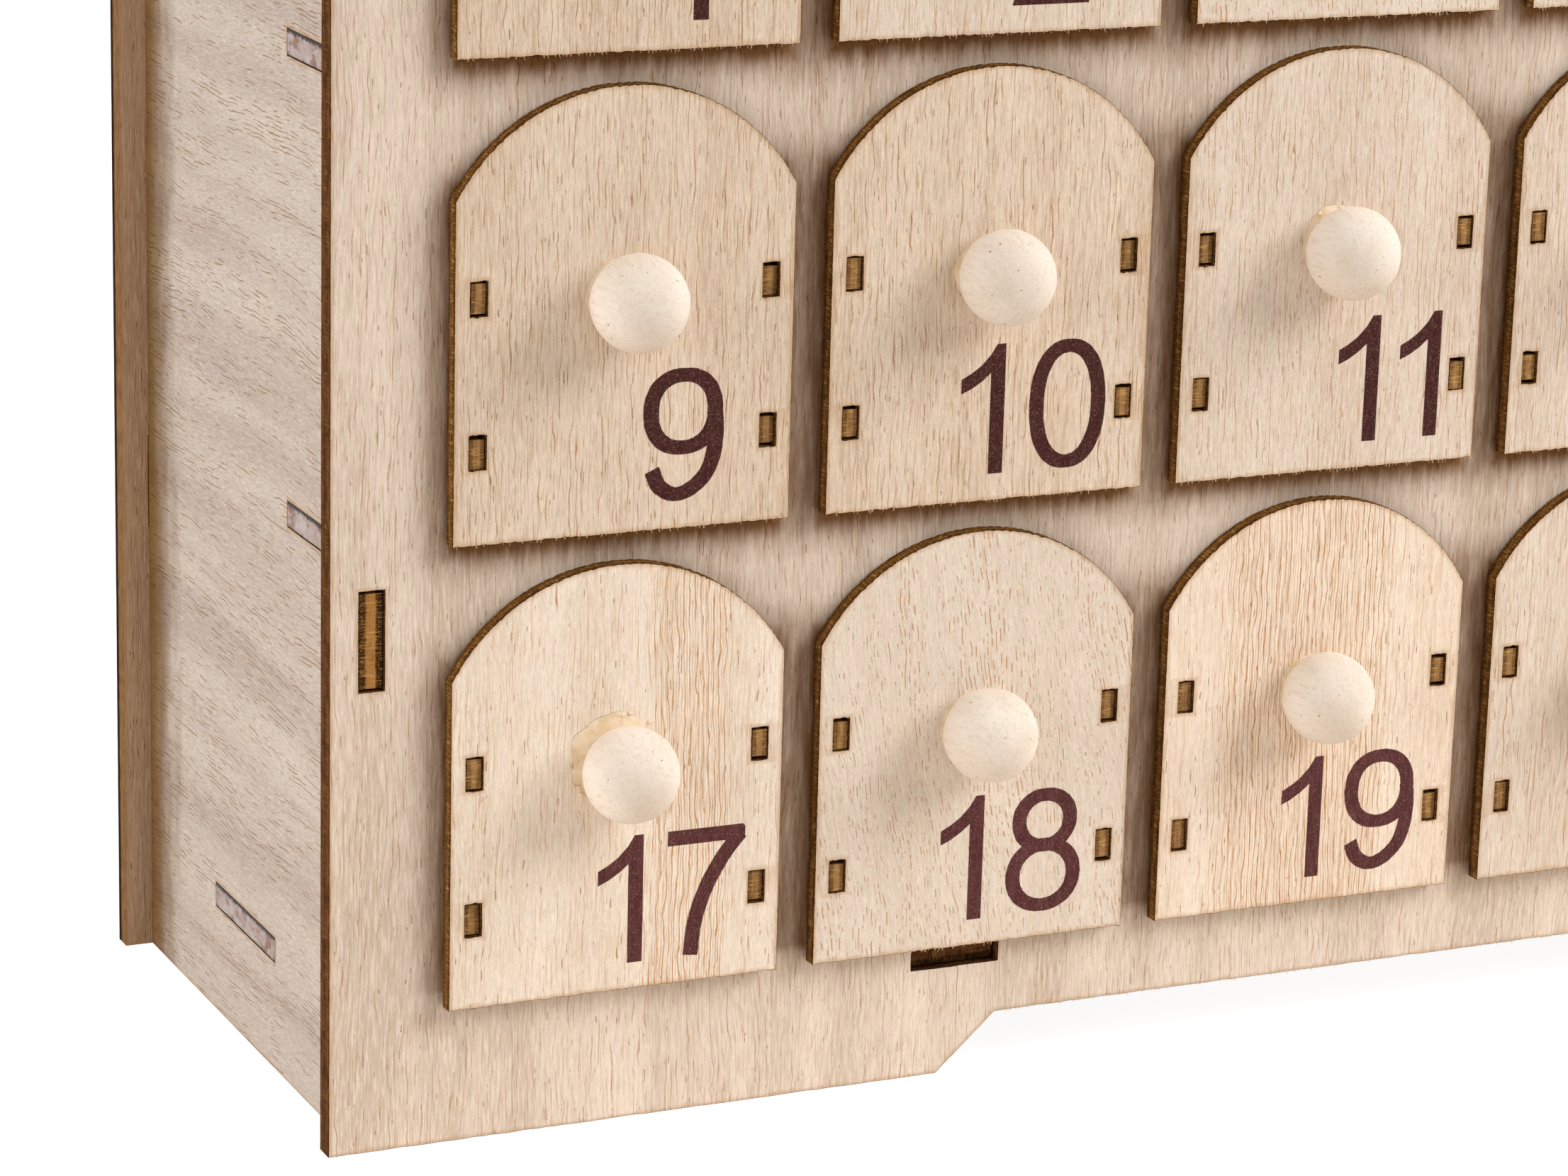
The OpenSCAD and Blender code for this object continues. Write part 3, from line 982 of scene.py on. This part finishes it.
def new_fibre_tree():
    """Thin cones at random places along the edges of a mesh, which point along its 'lean'."""
    tree = bpy.data.node_groups.new("torn_fibres", "GeometryNodeTree")
    for way in ("INPUT", "OUTPUT"):
        tree.interface.new_socket("Geometry", in_out=way, socket_type="NodeSocketGeometry")
    sockets = {}
    for label, kind, value in (
            ("Spacing", FLOAT, 0.5 * MM), ("Share", FLOAT, 0.5), ("Length", FLOAT, 0.4 * MM),
            ("Thickness", FLOAT, 0.05 * MM), ("Seed", "NodeSocketInt", 1)):
        socket = tree.interface.new_socket(label, in_out="INPUT", socket_type=kind)
        socket.default_value = value
        sockets[label] = socket.identifier
    recipe = Recipe(tree)
    given = recipe.named("NodeGroupInput")
    curve = recipe.get("GeometryNodeMeshToCurve", {"Mesh": given["Geometry"]})
    curve = recipe.get(
        "GeometryNodeResampleCurve", {"Curve": curve, "Length": given["Spacing"]}, mode="LENGTH")
    kept = recipe.random("BOOLEAN", given["Seed"], Probability=given["Share"])
    cone = recipe.get("GeometryNodeMeshCone", {
        "Vertices": 5, "Radius Top": 0.0, "Radius Bottom": 1.0, "Depth": 1.0}, "Mesh")
    lean = recipe.get(
        "GeometryNodeInputNamedAttribute", {"Name": "lean"}, data_type="FLOAT_VECTOR")
    stray = recipe.random(
        "FLOAT_VECTOR", given["Seed"] + 7, Min=(-0.7, -0.25, -0.3), Max=(0.7, 0.35, 0.3))
    lean = recipe.get("ShaderNodeVectorMath", {0: lean, 1: stray}, operation="ADD")
    turn = recipe.get("FunctionNodeAlignRotationToVector", {"Vector": lean}, axis="Z")
    long = given["Length"] * recipe.random("FLOAT", given["Seed"] + 3, Min=0.25, Max=1.6)
    size = recipe.join(given["Thickness"], given["Thickness"], long)
    grown = recipe.get("GeometryNodeInstanceOnPoints", {
        "Points": curve, "Selection": kept, "Instance": cone, "Rotation": turn, "Scale": size})
    solid = recipe.get("GeometryNodeRealizeInstances", {0: grown})
    solid = recipe.get("GeometryNodeSetMaterial", {"Geometry": solid, "Material": FIBRE})
    recipe.add("NodeGroupOutput", {0: solid})
    return tree, sockets


FIBRE_TREE, FIBRE_INPUTS = new_fibre_tree()


def make_fibres(name, body, ends, from_z, to_z, **values):
    """Grows fibres along the short lower edges that lie between two heights."""
    ends = [
        (start, end, lean) for start, end, lean in ends
        if lean.z < -CROSSWISE and from_z < start.z < to_z]
    corners = [spot for start, end, lean in ends for spot in (start, end)]
    carrier = make_piece(
        name + "_carrier", corners, [], edges=[(i, i + 1) for i in range(0, len(corners), 2)],
        lean=[lean for start, end, lean in ends for _ in range(2)])
    grow = carrier.modifiers.new("fibres", "NODES")
    grow.node_group = FIBRE_TREE
    for label, value in values.items():
        grow[FIBRE_INPUTS[label]] = value
    seen = carrier.evaluated_get(bpy.context.evaluated_depsgraph_get())
    mesh = bpy.data.meshes.new_from_object(seen)
    carrier.modifiers.remove(grow)
    bpy.data.objects.remove(carrier)
    settle(show(mesh, name), body)


# Printed numbers: plain strokes on a field 15 mm high

STROKE_UP = 1.85
STROKE_FLAT = 1.55
# How far the ink bleeds, as a share of the stroke
BLEED = (0.97, 1.03)
DIGIT_W = 9.7
DIGIT_SPACE = 8.8
NUMBER_FOOT = 3.15
NUMBER_RIGHT = 35.6
NUMBER_LIFT = 0.02
INK_WELD = 1e-4
# Left end of each digit that was printed off its usual place, from the plate's left edge
DIGIT_PLACES = {
    1: [23.5], 2: [21.1], 9: [22.2], 10: [16.5, 25.2], 11: [21.0, 29.3], 17: [17.7, 26.1],
    18: [15.9, 24.5], 19: [16.5, 25.2],
}
THIN_INK_FROM = 17


def oval(middle_x, middle_y, half_w, half_h, power=2.25, sides=72):
    """A closed stroke that follows a rounded oval."""
    path = []
    for i in range(sides):
        cos, sin = math.cos(math.tau * i / sides), math.sin(math.tau * i / sides)
        x = math.copysign(abs(cos) ** (2 / power), cos) * half_w
        y = math.copysign(abs(sin) ** (2 / power), sin) * half_h
        path.append(Vector((middle_x + x, middle_y + y)))
    return path, True


def bend(*knots, steps=10):
    """An open stroke that passes smoothly through its knots."""
    knots = [Vector(knot) for knot in knots]
    knots = [knots[0] * 2 - knots[1]] + knots + [knots[-1] * 2 - knots[-2]]
    path = []
    for a, b, c, d in zip(knots, knots[1:], knots[2:], knots[3:]):
        for i in range(steps):
            t = i / steps
            path.append(
                (b * 2 + (c - a) * t + (a * 2 - b * 5 + c * 4 - d) * t ** 2
                 + (b * 3 - a - c * 3 + d) * t ** 3) / 2)
    path.append(knots[-2])
    return path, False


def patch(*corners):
    """A plain filled shape."""
    return [Vector(corner) for corner in corners], None


DIGITS = {
    "0": [oval(4.85, 7.5, 3.95, 6.75)],
    "1": [patch((3.7, 0), (5.5, 0), (5.5, 15.05), (4.4, 15.05), (3.6, 13.8), (2.4, 12.6),
                (1.2, 11.8), (0, 11.2), (0, 9.5), (1.3, 10.05), (2.6, 10.85), (3.7, 11.75))],
    "2": [bend((1.0, 10.6), (1.5, 12.6), (2.9, 13.85), (4.95, 14.25), (7.1, 13.75), (8.4, 12.3),
               (8.6, 10.6), (7.8, 8.8), (6.0, 6.9), (3.8, 4.9), (2.0, 3.0), (0.95, 1.0)),
          patch((0.05, 0), (9.6, 0), (9.6, 1.75), (0.6, 1.75))],
    "3": [bend((1.15, 11.0), (1.8, 12.9), (3.1, 13.95), (4.7, 14.25), (6.6, 13.8), (7.8, 12.6),
               (8.0, 11.1), (7.4, 9.5), (6.0, 8.55), (3.9, 8.25)),
          bend((3.9, 8.2), (6.3, 7.95), (8.1, 6.8), (8.8, 4.6), (8.3, 2.6), (6.9, 1.25),
               (4.8, 0.75), (2.8, 1.2), (1.5, 2.4), (0.95, 4.2))],
    "4": [patch((6.1, 0), (7.9, 0), (7.9, 15), (6.1, 15)),
          patch((0.05, 3.5), (9.9, 3.5), (9.9, 5.2), (0.05, 5.2)),
          patch((0.05, 5.0), (2.1, 5.0), (7.2, 12.6), (7.2, 15), (6.5, 15))],
    "5": [patch((2.2, 13.25), (8.9, 13.25), (8.9, 15), (1.85, 15)),
          patch((1.85, 15), (0.6, 7.3), (2.2, 7.3), (2.55, 8.6), (3.5, 15)),
          bend((1.4, 7.4), (2.8, 8.7), (4.9, 9.2), (7.1, 8.5), (8.5, 6.9), (8.8, 4.9),
               (8.2, 2.8), (6.8, 1.3), (4.8, 0.75), (2.9, 1.2), (1.5, 2.5), (0.95, 4.2))],
    "6": [oval(4.95, 4.85, 3.85, 4.1),
          bend((8.6, 11.3), (7.7, 13.2), (5.9, 14.2), (3.9, 13.7), (2.1, 12.1), (1.2, 9.8),
               (0.95, 7.0), (1.15, 4.6))],
    "7": [patch((0.05, 13.25), (9.55, 13.25), (9.55, 14.7), (9.3, 15), (0.05, 15)),
          bend((9.0, 14.0), (6.6, 11.0), (4.6, 7.3), (3.45, 3.6), (3.05, 0.0))],
    "8": [oval(4.85, 11.15, 3.3, 3.1, 2.1), oval(4.85, 4.45, 3.95, 3.7, 2.1)],
    "9": [oval(4.75, 10.15, 3.85, 4.1),
          bend((1.1, 3.7), (2.0, 1.8), (3.8, 0.8), (5.8, 1.3), (7.6, 2.9), (8.5, 5.2),
               (8.75, 8.0), (8.55, 10.4))],
}


def stroke_outlines(path, closed, rng):
    """The two sides of a stroke, thinner where it runs flat, with the ink's slight bleed."""
    if closed is None:
        return [path]
    left, right = [], []
    for i, spot in enumerate(path):
        before = path[i - 1] if closed or i else spot
        after = path[(i + 1) % len(path)] if closed or i + 1 < len(path) else spot
        run = (after - before).normalized()
        width = STROKE_FLAT + (STROKE_UP - STROKE_FLAT) * abs(run.y)
        side = Vector((-run.y, run.x)) * width / 2
        left.append(spot + side * rng.uniform(*BLEED))
        right.append(spot - side * rng.uniform(*BLEED))
    if not closed:
        return [right + left[::-1]]
    return [[right[i - 1], right[i], left[i], left[i - 1]] for i in range(len(path))]


def make_number(number, name, plate):
    rng = random.Random(400 + number)
    digits = str(number)
    start = NUMBER_RIGHT - DIGIT_W - DIGIT_SPACE * (len(digits) - 1)
    usual = [start + DIGIT_SPACE * i for i in range(len(digits))]
    level = plate["low"].y
    flat, rings = [], []
    for digit, left in zip(digits, DIGIT_PLACES.get(number, usual)):
        origin = Vector((plate["low"].x + left, plate["low"].z + NUMBER_FOOT))
        for path, closed in DIGITS[digit]:
            for outline in stroke_outlines(path, closed, rng):
                rings.append(list(range(len(flat), len(flat) + len(outline))))
                flat.extend(origin + spot for spot in outline)
    spots, _, triangles, _, _, held = delaunay_2d_cdt(flat, [], rings, 0, INK_WELD, True)
    ink = [tri for tri, inside in zip(triangles, held) if inside]
    used = dict.fromkeys(index for tri in ink for index in tri)
    used = {index: i for i, index in enumerate(used)}
    faces = [[used[index] for index in tri] for tri in ink]
    steps = {(a, b): None for tri in faces for a, b in zip(tri, tri[1:] + tri[:1])}
    corners = [
        Vector((spots[index].x, height, spots[index].y))
        for height in (level - NUMBER_LIFT, level) for index in used]
    # The rim of the ink has a wall down to the plate
    faces += [
        [b, a, a + len(used), b + len(used)] for a, b in steps if (b, a) not in steps]
    shift = Vector((rng.uniform(0, 500), rng.uniform(0, 500), 0.0))
    piece = make_piece(
        f"{name}_number", corners, faces, [THIN_INK if number >= THIN_INK_FROM else FULL_INK],
        sheet=[Vector((spot.z, spot.x, spot.y)) + shift for spot in corners])
    settle(piece, name)


for number in DRAWERS:
    name = f"drawer_{number:02d}"
    plate, ball = sorted(
        read_solids(f"{name}_front"), key=lambda solid: solid["high"].y - solid["low"].y)
    foot = plate["low"].z
    stock = make_plate(number, name, plate)
    make_knob(number, name, ball)
    make_box(number, name)
    make_number(number, name, plate)
    make_glue(number, name, plate, ball)
    make_fibres(
        f"{name}_fibres", name, stock.ends, from_z=foot - 1, to_z=foot + 1, Seed=number,
        Length=0.32 * MM, Share=0.3)

make_fibres(
    "front_fibres", "case", front_stock.ends, from_z=1, to_z=12, Seed=91, Length=0.35 * MM,
    Share=0.25)


# The studio

CAMERA_TURN, CAMERA_DIP, CAMERA_ROLL = 24.7447, 15.355, 1.5047
CAMERA_PLACE = (-365.82, -533.83, 212.29)
CAMERA_LENS = 116.52
# Each lamp's azimuth and elevation, distance and size in metres, and how brightly it lights a
# surface that faces it, where 1 is plain white
LAMPS = {
    "key_right": (56.0, 34.0, 1.2, 0.75, 1.07),
    "fill_left": (-82.0, 10.0, 1.2, 0.8, 0.71),
    "low_front": (5.0, 2.0, 1.4, 0.5, 0.06),
    "top": (15.0, 70.0, 1.2, 0.8, 0.16),
    "behind": (165.0, 14.0, 1.4, 0.9, 0.56),
}
LAMP_AIM = Vector((0.0, 0.0, 0.09))
# The camera sees the floor nearly white by its own glow, over a grey that takes soft shadows
FLOOR_GLOW = 0.93
FLOOR_GREY = (0.25, 0.25, 0.25, 1.0)
FLOOR_REACH = 3000.0
ROOM_GLOW = 0.145


def way_to(azimuth, elevation):
    """From the object out to something round it. Azimuth 0 is in front."""
    turn, lift = math.radians(azimuth), math.radians(elevation)
    return Vector((
        math.sin(turn) * math.cos(lift), -math.cos(turn) * math.cos(lift), math.sin(lift)))


def make_camera():
    """Stands at the left, above the object, and looks down along the front."""
    roll = math.radians(CAMERA_ROLL)
    ahead = -way_to(-CAMERA_TURN, CAMERA_DIP)
    level = way_to(90.0 - CAMERA_TURN, 0.0)
    upright = level.cross(ahead)
    right = level * math.cos(roll) + upright * math.sin(roll)
    up = upright * math.cos(roll) - level * math.sin(roll)
    camera = show(bpy.data.cameras.new("camera"), "camera")
    turn = Matrix((right, up, -ahead)).transposed().to_4x4()
    camera.matrix_world = Matrix.Translation(Vector(CAMERA_PLACE) * MM) @ turn
    camera.data.sensor_width = 36.0
    camera.data.lens = CAMERA_LENS
    camera.data.clip_start = 0.05
    camera.data.clip_end = 20.0
    bpy.context.scene.camera = camera


def make_lamp(name, azimuth, elevation, distance, size, share):
    """A square lamp that aims at the object and isn't seen itself."""
    light = bpy.data.lights.new(name, "AREA")
    light.shape = "SQUARE"
    light.size = size
    light.energy = share * (math.pi * distance) ** 2
    away = way_to(azimuth, elevation)
    lamp = show(light, name)
    lamp.location = LAMP_AIM + away * distance
    lamp.rotation_mode = "QUATERNION"
    lamp.rotation_quaternion = (-away).to_track_quat("-Z", "Y")
    lamp.visible_camera = False


def shown_or_lit(recipe, lit, shown):
    """One surface for the light to fall on, and another where a ray meets the studio itself."""
    path = recipe.named("ShaderNodeLightPath")
    seen = path["Is Camera Ray"].sum("MAXIMUM", path["Is Glossy Ray"])
    seen = seen.sum("MAXIMUM", path["Is Transmission Ray"])
    return recipe.get("ShaderNodeMixShader", {0: seen, 1: lit, 2: shown})


def make_studio():
    world = bpy.data.worlds.new("studio")
    bpy.context.scene.world = world
    world.use_nodes = True
    world.node_tree.nodes.clear()
    recipe = Recipe(world.node_tree)
    lit = recipe.get("ShaderNodeBackground", {"Color": "#ffe5cc", "Strength": ROOM_GLOW})
    shown = recipe.get("ShaderNodeBackground", {"Color": "#ffffff", "Strength": 1.0})
    recipe.add("ShaderNodeOutputWorld", {"Surface": shown_or_lit(recipe, lit, shown)})

    recipe = new_material("studio_floor")
    away = recipe.get(
        "ShaderNodeVectorMath", {0: recipe.object_place()}, "Value", operation="LENGTH")
    table = recipe.mix(away.step(0.3, 0.7), "#f4ebe1", "#8a8078")
    lit = recipe.get("ShaderNodeBsdfDiffuse", {"Color": table})
    shade = recipe.get("ShaderNodeBsdfDiffuse", {"Color": FLOOR_GREY})
    glow = recipe.get("ShaderNodeEmission", {"Color": "#ffffff", "Strength": FLOOR_GLOW})
    shown = recipe.get("ShaderNodeAddShader", {0: shade, 1: glow})
    recipe.add("ShaderNodeOutputMaterial", {"Surface": shown_or_lit(recipe, lit, shown)})
    corners = [Vector(spot) * FLOOR_REACH for spot in ((-1, -1, 0), (1, -1, 0), (1, 1, 0), (-1, 1, 0))]
    make_piece("floor", corners, [(0, 1, 2, 3)], [recipe.material])

    for name, lamp in LAMPS.items():
        make_lamp(name, *lamp)


make_camera()
make_studio()
bpy.context.scene.view_settings.view_transform = "Standard"
